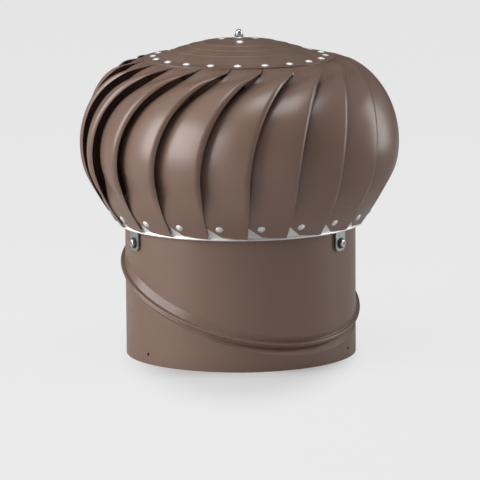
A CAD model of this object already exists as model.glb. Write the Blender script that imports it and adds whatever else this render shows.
# %% [markdown]
# # Roof turbine ventilator
# A wind-driven ventilator: twenty curved vanes under a riveted cap spin on a bearing post above a
# round throat. The exact parts come in as a fixed frame. This lesson gives them their real
# finishes, adds the rolled hem of the ring under the vanes, and sets a plain studio around them.
# All lengths are in metres and +Z is up.

# %% Load the frame
import bpy
import bmesh
from math import cos, pi, radians, sin
from mathutils import Matrix, Vector


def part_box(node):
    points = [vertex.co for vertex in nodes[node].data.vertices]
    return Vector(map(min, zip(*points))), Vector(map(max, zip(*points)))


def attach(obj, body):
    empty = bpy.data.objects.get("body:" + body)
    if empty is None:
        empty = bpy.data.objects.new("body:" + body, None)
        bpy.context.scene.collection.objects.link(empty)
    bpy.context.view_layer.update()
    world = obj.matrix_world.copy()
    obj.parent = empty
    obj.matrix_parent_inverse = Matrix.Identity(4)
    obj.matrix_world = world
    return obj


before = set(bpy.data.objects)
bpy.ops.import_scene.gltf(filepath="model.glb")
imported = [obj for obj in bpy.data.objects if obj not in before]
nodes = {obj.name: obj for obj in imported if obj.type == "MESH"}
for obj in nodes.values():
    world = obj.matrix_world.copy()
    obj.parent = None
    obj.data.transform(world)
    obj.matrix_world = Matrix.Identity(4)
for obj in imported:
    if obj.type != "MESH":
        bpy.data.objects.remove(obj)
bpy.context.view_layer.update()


# %% [markdown]
# ## Camera
# A long lens from about five metres away keeps the upright lines nearly parallel. The camera
# looks down a little, so that the cap shows as a flat oval, and it is rolled by less than half a
# degree. The roll is made about the camera's own axis, so the camera's matrix is put together
# from three steps: move, tilt, roll.

# %% Camera
CAMERA_AT = Vector((0, -5.087, 0.999))
LOOK_DOWN = radians(9.52)
ROLL = radians(-0.42)
LENS = 296.7  # millimetres
SENSOR_WIDTH = 36  # millimetres
SHIFT_PIXELS = -0.45
PICTURE_WIDTH = 480  # pixels

eye_data = bpy.data.cameras.new("studio_camera")
eye_data.lens = LENS
eye_data.sensor_width = SENSOR_WIDTH
eye_data.shift_x = SHIFT_PIXELS / PICTURE_WIDTH
eye_data.clip_end = 100
eye = bpy.data.objects.new("studio_camera", eye_data)
bpy.context.scene.collection.objects.link(eye)
eye.matrix_world = (
    Matrix.Translation(CAMERA_AT)
    @ Matrix.Rotation(pi / 2 - LOOK_DOWN, 4, "X")
    @ Matrix.Rotation(ROLL, 4, "Z")
)
bpy.context.scene.camera = eye
print("camera:", tuple(round(v, 3) for v in eye.location), "lens", eye_data.lens)


# %% [markdown]
# ## Helpers for shader nodes
# A material is a small network of nodes. `fill_in` gives a node's inputs either plain values or
# links from other nodes. `node` adds a node and fills it in, and `math` does so for one sum.
# `group` makes an empty shader group with named inputs and outputs, so that one effect can be
# used in several finishes with its own values.

# %% Shader helpers
def fill_in(tree, made, inputs):
    for name, value in inputs.items():
        if isinstance(value, bpy.types.NodeSocket):
            tree.links.new(value, made.inputs[name])
        else:
            made.inputs[name].default_value = value


def node(tree, kind, inputs=None, **settings):
    made = tree.nodes.new(kind)
    for name, value in settings.items():
        setattr(made, name, value)
    fill_in(tree, made, inputs or {})
    return made


def math(tree, operation, first, second=0.0):
    return node(tree, "ShaderNodeMath", {0: first, 1: second}, operation=operation).outputs[0]


def group(name, inputs, outputs):
    tree = bpy.data.node_groups.new(name, "ShaderNodeTree")
    for label, kind, value in inputs:
        socket = tree.interface.new_socket(name=label, in_out="INPUT", socket_type=kind)
        socket.default_value = value
    for label, kind in outputs:
        tree.interface.new_socket(name=label, in_out="OUTPUT", socket_type=kind)
    return tree, tree.nodes.new("NodeGroupInput").outputs, tree.nodes.new("NodeGroupOutput")


FLOAT, COLOUR, VECTOR = "NodeSocketFloat", "NodeSocketColor", "NodeSocketVector"


# %% [markdown]
# ## Uneven tone
# No sprayed or rolled sheet is one flat colour. Two noises, one broad and one smaller, move the
# brightness a few percent up and down. They read Object coordinates, so the pattern stays on
# the metal when a part moves.

# %% Group: uneven tone
uneven, given, out = group(
    "uneven_tone",
    [("Colour", COLOUR, (0.5, 0.5, 0.5, 1)), ("Scale", FLOAT, 8.0), ("Amount", FLOAT, 0.08)],
    [("Colour", COLOUR), ("Value", FLOAT)],
)
place = node(uneven, "ShaderNodeTexCoord").outputs["Object"]
broad = node(uneven, "ShaderNodeTexNoise", {"Vector": place, "Scale": given["Scale"], "Detail": 3.0})
finer_scale = math(uneven, "MULTIPLY", given["Scale"], 7.0)
finer = node(uneven, "ShaderNodeTexNoise", {"Vector": place, "Scale": finer_scale, "Detail": 2.0})
both = math(uneven, "ADD", broad.outputs["Fac"], math(uneven, "MULTIPLY", finer.outputs["Fac"], 0.5))
swing = math(uneven, "MULTIPLY", math(uneven, "SUBTRACT", both, 0.75), 2.0)
value = math(uneven, "ADD", math(uneven, "MULTIPLY", swing, given["Amount"]), 1.0)
toned = node(uneven, "ShaderNodeHueSaturation", {"Color": given["Colour"], "Value": value})
uneven.links.new(toned.outputs["Color"], out.inputs["Colour"])
uneven.links.new(math(uneven, "ADD", swing, 0.5), out.inputs["Value"])


# %% [markdown]
# ## Worn edges
# Paint is thinnest on sharp edges, and hands and tools rub it there first. The Bevel node gives
# the normal that a rounded edge would have. Where it differs from the true normal there is an
# edge, and a noise breaks the line up into patches. Gentle bends stay below the threshold.

# %% Group: worn edges
worn, given, out = group(
    "worn_edges", [("Width", FLOAT, 0.0006), ("Patches", FLOAT, 60.0)], [("Mask", FLOAT)]
)
place = node(worn, "ShaderNodeTexCoord").outputs["Object"]
rounded = node(worn, "ShaderNodeBevel", {"Radius": given["Width"]}, samples=6).outputs["Normal"]
facing = node(worn, "ShaderNodeNewGeometry").outputs["Normal"]
likeness = node(worn, "ShaderNodeVectorMath", {0: rounded, 1: facing}, operation="DOT_PRODUCT")
edge = node(
    worn, "ShaderNodeMapRange", {"Value": likeness.outputs["Value"], "From Min": 0.94, "From Max": 0.7}
).outputs["Result"]
patches = node(worn, "ShaderNodeTexNoise", {"Vector": place, "Scale": given["Patches"], "Detail": 5.0})
broken = node(
    worn, "ShaderNodeMapRange", {"Value": patches.outputs["Fac"], "From Min": 0.42, "From Max": 0.62}
)
mask = node(worn, "ShaderNodeMath", {0: edge, 1: broken.outputs["Result"]}, operation="MULTIPLY")
mask.use_clamp = True
worn.links.new(mask.outputs[0], out.inputs["Mask"])


# %% [markdown]
# ## Skin of a coating
# A powder coat levels out as it melts, but not fully: close up it has the fine dimples called
# orange peel, and the thin sheet under it is never quite flat. Both are heights for one Bump node.

# %% Group: coated skin
skin, given, out = group(
    "coated_skin",
    [
        ("Peel Scale", FLOAT, 700.0),
        ("Peel Depth", FLOAT, 0.00001),
        ("Wave Scale", FLOAT, 14.0),
        ("Wave Depth", FLOAT, 0.0003),
    ],
    [("Normal", VECTOR)],
)
place = node(skin, "ShaderNodeTexCoord").outputs["Object"]
peel = node(skin, "ShaderNodeTexNoise", {"Vector": place, "Scale": given["Peel Scale"], "Detail": 2.0})
wave = node(skin, "ShaderNodeTexNoise", {"Vector": place, "Scale": given["Wave Scale"], "Detail": 1.0})
height = math(
    skin,
    "ADD",
    math(skin, "MULTIPLY", peel.outputs["Fac"], given["Peel Depth"]),
    math(skin, "MULTIPLY", wave.outputs["Fac"], given["Wave Depth"]),
)
bump = node(skin, "ShaderNodeBump", {"Height": height, "Strength": 1.0, "Distance": 1.0})
skin.links.new(bump.outputs["Normal"], out.inputs["Normal"])


# %% [markdown]
# ## Settled dust
# A roof fitting gathers a little dust on whatever faces the sky. The mask is the upward part of
# the normal, broken up by noise.

# %% Group: settled dust
dust, given, out = group("settled_dust", [("Amount", FLOAT, 0.2)], [("Mask", FLOAT)])
place = node(dust, "ShaderNodeTexCoord").outputs["Object"]
facing = node(dust, "ShaderNodeNewGeometry").outputs["Normal"]
upward = node(dust, "ShaderNodeSeparateXYZ", {"Vector": facing}).outputs["Z"]
level = node(dust, "ShaderNodeMapRange", {"Value": upward, "From Min": 0.35, "From Max": 1.0})
drift = node(dust, "ShaderNodeTexNoise", {"Vector": place, "Scale": 35.0, "Detail": 6.0})
patchy = node(
    dust, "ShaderNodeMapRange", {"Value": drift.outputs["Fac"], "From Min": 0.35, "From Max": 0.7}
)
settled = math(dust, "MULTIPLY", level.outputs["Result"], patchy.outputs["Result"])
dust.links.new(math(dust, "MULTIPLY", settled, given["Amount"]), out.inputs["Mask"])


# %% [markdown]
# ## Zinc spangle
# Hot-dip zinc freezes in flat crystals a few millimetres across, each a little brighter or duller
# than the next. A Voronoi texture gives every crystal its own random tone.

# %% Group: zinc spangle
spangle, given, out = group("zinc_spangle", [("Scale", FLOAT, 260.0)], [("Tone", FLOAT)])
place = node(spangle, "ShaderNodeTexCoord").outputs["Object"]
crystals = node(spangle, "ShaderNodeTexVoronoi", {"Vector": place, "Scale": given["Scale"]})
grey = node(spangle, "ShaderNodeRGBToBW", {"Color": crystals.outputs["Color"]}).outputs["Val"]
spangle.links.new(grey, out.inputs["Tone"])


# %% [markdown]
# ## Materials
# Every finish starts from the same few lines: a Principled shader and its output. `finish` makes
# those, sets the values that are the same all over, and returns what the rest is linked to.
# `use` places one of the groups above.

# %% Material helpers
def finish(name, **constants):
    material = bpy.data.materials.new(name)
    material.use_nodes = True
    tree = material.node_tree
    tree.nodes.clear()
    inputs = {label.replace("_", " "): value for label, value in constants.items()}
    shader = node(tree, "ShaderNodeBsdfPrincipled", inputs)
    surface = node(tree, "ShaderNodeOutputMaterial")
    tree.links.new(shader.outputs["BSDF"], surface.inputs["Surface"])
    return material, tree, shader


def use(tree, effect, inputs):
    return node(tree, "ShaderNodeGroup", inputs, node_tree=effect).outputs


def blend_colour(tree, factor, first, second):
    # A Mix node set to colour has its factor at input 0, its colours at 6 and 7, its result at 2.
    return node(tree, "ShaderNodeMix", {0: factor, 6: first, 7: second}, data_type="RGBA").outputs[2]


def spread_value(tree, value, low, high):
    ranged = node(tree, "ShaderNodeMapRange", {"Value": value, "To Min": low, "To Max": high})
    return ranged.outputs["Result"]


# %% [markdown]
# ## Brown roof paint
# The vanes, the cap and the throat are coil-coated steel in a satin warm brown. It is a dielectric
# coating, so Metallic stays at 0 and the gloss comes from Specular and Roughness. The throat is
# rolled from flatter sheet than the pressed vanes, so it gets gentler waves.

# %% Brown roof paint
BROWN = (0.138, 0.085, 0.064, 1)
BARE_STEEL = (0.36, 0.33, 0.31, 1)
DUST = (0.30, 0.26, 0.22, 1)
WEAR_SHOWN = 0.35  # share of bare steel on a worn edge
SATIN, DULLER = 0.27, 0.35  # roughness of the paint, from its glossiest to its dullest patches
DUST_DULLS = 0.5  # roughness that full dust adds


def brown_paint(name, wave_depth, dust_amount, tone_amount):
    material, tree, shader = finish(name, Specular_IOR_Level=0.5, IOR=1.5)
    tone = use(tree, uneven, {"Colour": BROWN, "Scale": 7.0, "Amount": tone_amount})
    wear = use(tree, worn, {"Width": 0.0005, "Patches": 90.0})["Mask"]
    dusty = use(tree, dust, {"Amount": dust_amount})["Mask"]
    colour = blend_colour(tree, math(tree, "MULTIPLY", wear, WEAR_SHOWN), tone["Colour"], BARE_STEEL)
    colour = blend_colour(tree, dusty, colour, DUST)
    tree.links.new(colour, shader.inputs["Base Color"])
    gloss = spread_value(tree, tone["Value"], SATIN, DULLER)
    gloss = math(tree, "ADD", gloss, math(tree, "MULTIPLY", dusty, DUST_DULLS))
    tree.links.new(gloss, shader.inputs["Roughness"])
    normal = use(tree, skin, {"Wave Depth": wave_depth, "Wave Scale": 11.0})["Normal"]
    tree.links.new(normal, shader.inputs["Normal"])
    return material


vane_paint = brown_paint("brown_paint_vanes", 0.0003, 0.06, 0.035)
cap_paint = brown_paint("brown_paint_cap", 0.0003, 0.1, 0.04)
throat_paint = brown_paint("brown_paint_throat", 0.0002, 0.05, 0.035)
print("paints:", vane_paint.name, cap_paint.name, throat_paint.name)


# %% [markdown]
# ## Bare metals
# The ring under the vanes and the rivets are left uncoated. They are metallic, so their colour is
# the colour of their reflections. Each metal differs in tone and roughness, and all share one
# very fine grain.

# %% Bare metals
METAL_GRAIN = 0.000004  # height of the grain
EDGE_BRIGHTER, BRIGHTEST = 1.25, 0.95  # rubbed edges against the rest, and their limit


def bare_metal(name, colour, roughness, tone_amount=0.06):
    material, tree, shader = finish(name, Metallic=1.0)
    tone = use(tree, uneven, {"Colour": colour, "Scale": 40.0, "Amount": tone_amount})
    wear = use(tree, worn, {"Width": 0.0003, "Patches": 200.0})["Mask"]
    bright = tuple(min(c * EDGE_BRIGHTER, BRIGHTEST) for c in colour[:3]) + (1,)
    tree.links.new(
        blend_colour(tree, math(tree, "MULTIPLY", wear, 0.6), tone["Colour"], bright),
        shader.inputs["Base Color"],
    )
    gloss = spread_value(tree, tone["Value"], roughness * 0.85, roughness * 1.2)
    tree.links.new(gloss, shader.inputs["Roughness"])
    normal = use(
        tree,
        skin,
        {"Peel Scale": 1500.0, "Peel Depth": METAL_GRAIN, "Wave Scale": 60.0, "Wave Depth": METAL_GRAIN},
    )["Normal"]
    tree.links.new(normal, shader.inputs["Normal"])
    return material


ring_aluminium = bare_metal("bare_aluminium_ring", (0.96, 0.955, 0.94, 1), 0.55)
screw_zinc = bare_metal("zinc_plated_steel", (0.70, 0.70, 0.69, 1), 0.3)
race_steel = bare_metal("bearing_steel", (0.60, 0.60, 0.61, 1), 0.18)
spring_steel = bare_metal("black_spring_steel", (0.06, 0.06, 0.065, 1), 0.4)
nut_chrome = bare_metal("chrome_nut", (0.56, 0.56, 0.57, 1), 0.1, tone_amount=0.03)


# %% [markdown]
# ## Galvanised straps
# The three bracket straps and the hub are hot-dip galvanised. The spangle changes both the tone
# and the roughness from crystal to crystal.

# %% Galvanised steel
DULL_CRYSTAL = (0.30, 0.31, 0.315, 1)
BRIGHT_CRYSTAL = (0.50, 0.51, 0.52, 1)

galvanised, tree, shader = finish("galvanised_steel", Metallic=1.0)
crystal_tone = use(tree, spangle, {"Scale": 260.0})["Tone"]
zinc = blend_colour(tree, crystal_tone, DULL_CRYSTAL, BRIGHT_CRYSTAL)
zinc = use(tree, uneven, {"Colour": zinc, "Scale": 30.0, "Amount": 0.08})["Colour"]
tree.links.new(zinc, shader.inputs["Base Color"])
tree.links.new(spread_value(tree, crystal_tone, 0.5, 0.32), shader.inputs["Roughness"])
normal = use(tree, skin, {"Peel Scale": 900.0, "Wave Scale": 50.0, "Wave Depth": 0.00005})["Normal"]
tree.links.new(normal, shader.inputs["Normal"])


# %% [markdown]
# ## Rubber and nylon
# The grommets under the straps are black rubber, dull and slightly grainy. The ball cages are
# natural nylon, which is milky and glossier.

# %% Rubber and nylon
def moulded(name, colour, roughness, grain):
    material, tree, shader = finish(name, Specular_IOR_Level=0.4)
    tone = use(tree, uneven, {"Colour": colour, "Scale": 60.0, "Amount": 0.15})
    tree.links.new(tone["Colour"], shader.inputs["Base Color"])
    gloss = spread_value(tree, tone["Value"], roughness - 0.06, roughness + 0.06)
    tree.links.new(gloss, shader.inputs["Roughness"])
    normal = use(tree, skin, {"Peel Scale": 1200.0, "Peel Depth": grain, "Wave Depth": 0.0})["Normal"]
    tree.links.new(normal, shader.inputs["Normal"])
    return material


grommet_rubber = moulded("black_rubber", (0.018, 0.018, 0.018, 1), 0.62, 0.00002)
cage_nylon = moulded("cage_nylon", (0.75, 0.72, 0.62, 1), 0.4, 0.000005)


# %% [markdown]
# ## Dressing the exact parts
# The frame's parts keep their meshes. Only the material in each part's slot changes, chosen by
# the slot's name, with the throat and the cap given their own versions of the paint.

# %% Dress the parts
by_slot = {
    "brown_paint": vane_paint,
    "bare_aluminium": ring_aluminium,
    "galvanised_steel": galvanised,
    "zinc_plated_steel": screw_zinc,
    "bearing_steel": race_steel,
    "black_spring_steel": spring_steel,
    "cage_nylon": cage_nylon,
    "black_rubber": grommet_rubber,
    "chrome": nut_chrome,
}
by_part = {"cap": cap_paint, "upper_throat": throat_paint, "lower_throat": throat_paint}
for name, part in nodes.items():
    for slot in part.material_slots:
        slot.material = by_part.get(name) or by_slot[slot.material.name.split(".")[0]]
print("dressed", len(nodes), "parts")


# %% [markdown]
# ## Rolled hem of the bottom ring
# The ring under the vanes ends in a small rolled hem, which shows as a bright line below the
# vanes' feet. It is one circle of points spun around the upright axis. The ring's own box
# gives its height, so the hem stays on its edge.

# %% Rolled hem
HEM_R = 0.00165
HEM_CENTRE_R = 0.1577
HEM_LAP = 0.0003  # how far the hem covers the ring's edge
HEM_SIDES = 16
HEM_STEPS = 240

ring_low, ring_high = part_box("bottom_ring")
hem_z = ring_low[2] - HEM_R + HEM_LAP
turns = [2 * pi * k / HEM_SIDES for k in range(HEM_SIDES)]
hem_mesh = bmesh.new()
profile = [
    hem_mesh.verts.new((HEM_CENTRE_R + HEM_R * cos(turn), 0, hem_z + HEM_R * sin(turn)))
    for turn in turns
]
edges = [hem_mesh.edges.new((profile[k], profile[(k + 1) % HEM_SIDES])) for k in range(HEM_SIDES)]
bmesh.ops.spin(
    hem_mesh,
    geom=profile + edges,
    cent=(0, 0, 0),
    axis=(0, 0, 1),
    angle=2 * pi,
    steps=HEM_STEPS,
    use_merge=True,
)
bmesh.ops.remove_doubles(hem_mesh, verts=hem_mesh.verts, dist=0.00001)
bmesh.ops.recalc_face_normals(hem_mesh, faces=hem_mesh.faces)
for face in hem_mesh.faces:
    face.smooth = True
hem_data = bpy.data.meshes.new("ring_hem")
hem_mesh.to_mesh(hem_data)
hem_mesh.free()
hem_data.materials.append(ring_aluminium)
hem = bpy.data.objects.new("ring_hem", hem_data)
bpy.context.scene.collection.objects.link(hem)
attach(hem, "turbine_head")
print("hem:", len(hem_data.polygons), "faces at height", round(hem_z, 4))


# %% [markdown]
# ## Floor and backdrop
# The floor is a large pale sheet at the height of the throat's rim. Part of its colour is its own
# light, seen by the camera and in reflections only, so that it looks even and pale. Close around
# the throat that share fades out, and there the floor shows the ventilator's own soft shadow.

# %% Floor sheet
floor_mesh = bmesh.new()
bmesh.ops.create_grid(floor_mesh, x_segments=1, y_segments=1, size=30)
floor_data = bpy.data.meshes.new("floor")
floor_mesh.to_mesh(floor_data)
floor_mesh.free()
floor = bpy.data.objects.new("floor", floor_data)
bpy.context.scene.collection.objects.link(floor)
print("floor:", floor.name)


# %% [markdown]
# ## Finish of the floor
# The Light Path node tells which kind of ray has reached the floor. The camera sees a glow with
# the backdrop's colour, reflections see a weaker one, and all other rays see only the matt sheet.
# The distance from the throat's axis, measured in an oval that reaches towards the camera, fades
# the glow out. Inside the throat there is no glow, so the holes in its wall stay dark.

# %% Floor finish
BACKDROP = (0.83, 0.83, 0.835, 1)
IN_MIRRORS = 0.35  # share of the floor's glow that reflections get
FLOOR_GLOW = 0.92
SHADOW_FULL, SHADOW_GONE = 0.09, 0.165  # the glow begins and is whole at these distances
SHADOW_DEPTH = 0.4  # under 1 stretches the shadowed oval towards the camera
THROAT_RADIUS = 0.15
FLOOR_COLOUR = (0.8, 0.8, 0.8, 1)
FLOOR_IN_SHADOW = (0.56, 0.56, 0.565, 1)
FLOOR_IN_MIRRORS = (0.2, 0.2, 0.2, 1)

pale = bpy.data.materials.new("pale_floor")
pale.use_nodes = True
tree = pale.node_tree
tree.nodes.clear()
path = node(tree, "ShaderNodeLightPath").outputs
mirrored = math(tree, "MAXIMUM", path["Is Glossy Ray"], path["Is Transmission Ray"])
seen = math(tree, "MAXIMUM", path["Is Camera Ray"], math(tree, "MULTIPLY", mirrored, IN_MIRRORS))
matt_colour = blend_colour(tree, path["Is Camera Ray"], FLOOR_COLOUR, FLOOR_IN_SHADOW)
matt_colour = blend_colour(tree, mirrored, matt_colour, FLOOR_IN_MIRRORS)
matt = node(tree, "ShaderNodeBsdfDiffuse", {"Color": matt_colour})
glow = node(tree, "ShaderNodeEmission", {"Color": BACKDROP, "Strength": 1.0})
spot_on_floor = node(tree, "ShaderNodeTexCoord").outputs["Object"]
oval = node(
    tree, "ShaderNodeVectorMath", {0: spot_on_floor, 1: (1.0, SHADOW_DEPTH, 1.0)}, operation="MULTIPLY"
).outputs["Vector"]
distance = node(tree, "ShaderNodeVectorMath", {0: oval}, operation="LENGTH").outputs["Value"]
clear = node(
    tree,
    "ShaderNodeMapRange",
    {"Value": distance, "From Min": SHADOW_FULL, "From Max": SHADOW_GONE, "To Max": FLOOR_GLOW},
    interpolation_type="SMOOTHSTEP",
)
radius = node(tree, "ShaderNodeVectorMath", {0: spot_on_floor}, operation="LENGTH").outputs["Value"]
outside = math(tree, "GREATER_THAN", radius, THROAT_RADIUS)
glowing = math(tree, "MULTIPLY", math(tree, "MULTIPLY", seen, clear.outputs["Result"]), outside)
mixed = node(tree, "ShaderNodeMixShader", {0: glowing})
tree.links.new(matt.outputs[0], mixed.inputs[1])
tree.links.new(glow.outputs[0], mixed.inputs[2])
ground = node(tree, "ShaderNodeOutputMaterial")
tree.links.new(mixed.outputs[0], ground.inputs["Surface"])
floor_data.materials.append(pale)
print("floor finish:", pale.name)


# %% [markdown]
# ## The world around
# An even grey world fills the shadows. In reflections it is pale at the sides and dark in front
# and behind, as a studio with two black cards is, so that round edges and chrome get contrast.
# The camera sees the plain backdrop.

# %% World
FILL = 0.4
WALLS_IN_MIRRORS = 0.6
CARDS_IN_MIRRORS = 0.06
CARDS_FROM, CARDS_FULL = 0.25, 0.8  # how nearly a direction has to face forward or back

world = bpy.data.worlds.new("studio_world")
bpy.context.scene.world = world
world.use_nodes = True
tree = world.node_tree
tree.nodes.clear()
path = node(tree, "ShaderNodeLightPath").outputs
mirrored = math(tree, "MAXIMUM", path["Is Glossy Ray"], path["Is Transmission Ray"])
toward = node(tree, "ShaderNodeTexCoord").outputs["Generated"]
along = math(tree, "ABSOLUTE", node(tree, "ShaderNodeSeparateXYZ", {"Vector": toward}).outputs["Y"])
cards = node(
    tree,
    "ShaderNodeMapRange",
    {
        "Value": along,
        "From Min": CARDS_FROM,
        "From Max": CARDS_FULL,
        "To Min": WALLS_IN_MIRRORS,
        "To Max": CARDS_IN_MIRRORS,
    },
).outputs["Result"]
light = math(tree, "ADD", math(tree, "MULTIPLY", mirrored, math(tree, "SUBTRACT", cards, FILL)), FILL)
fill = node(tree, "ShaderNodeBackground", {"Color": (1, 1, 1, 1), "Strength": light})
backdrop = node(tree, "ShaderNodeBackground", {"Color": BACKDROP, "Strength": 1.0})
either = node(tree, "ShaderNodeMixShader", {0: path["Is Camera Ray"]})
tree.links.new(fill.outputs[0], either.inputs[1])
tree.links.new(backdrop.outputs[0], either.inputs[2])
sky = node(tree, "ShaderNodeOutputWorld")
tree.links.new(either.outputs[0], sky.inputs["Surface"])
print("world:", world.name)


# %% [markdown]
# ## Softboxes
# A large lamp at the left makes the broad light band down the throat. A second, narrow one at
# the right draws the ridges of the vanes, and a third above lifts the cap and throws the soft
# shadow in front. `softbox` places a lamp by its bearing, its height angle and its distance.

# %% Softboxes
MIDDLE = Vector((0, 0, 0.22))  # of the ventilator


def softbox(name, bearing, elevation, distance, width, height, power):
    """A rectangular lamp aimed at the ventilator's middle. Bearing 0 is the camera's side."""
    lamp_data = bpy.data.lights.new(name, "AREA")
    lamp_data.shape = "RECTANGLE"
    lamp_data.size = width
    lamp_data.size_y = height
    lamp_data.energy = power
    lamp = bpy.data.objects.new(name, lamp_data)
    bpy.context.scene.collection.objects.link(lamp)
    across = distance * cos(radians(elevation))
    height_up = distance * sin(radians(elevation))
    offset = Vector((across * sin(radians(bearing)), -across * cos(radians(bearing)), height_up))
    lamp.location = MIDDLE + offset
    lamp.rotation_euler = (-offset).to_track_quat("-Z", "Y").to_euler()


softbox("left_softbox", -72, 17, 2.4, 2.2, 1.6, 72)
softbox("right_softbox", 100, 17, 2.4, 0.7, 1.8, 22)
softbox("top_softbox", -10, 74, 2.4, 1.4, 1.0, 26)


# %% [markdown]
# ## View and hand-over
# The Standard view shows each colour as it was written. Last, the box of the finished model is
# set beside the box of the exact parts.

# %% View and hand-over
bpy.context.scene.view_settings.view_transform = "Standard"
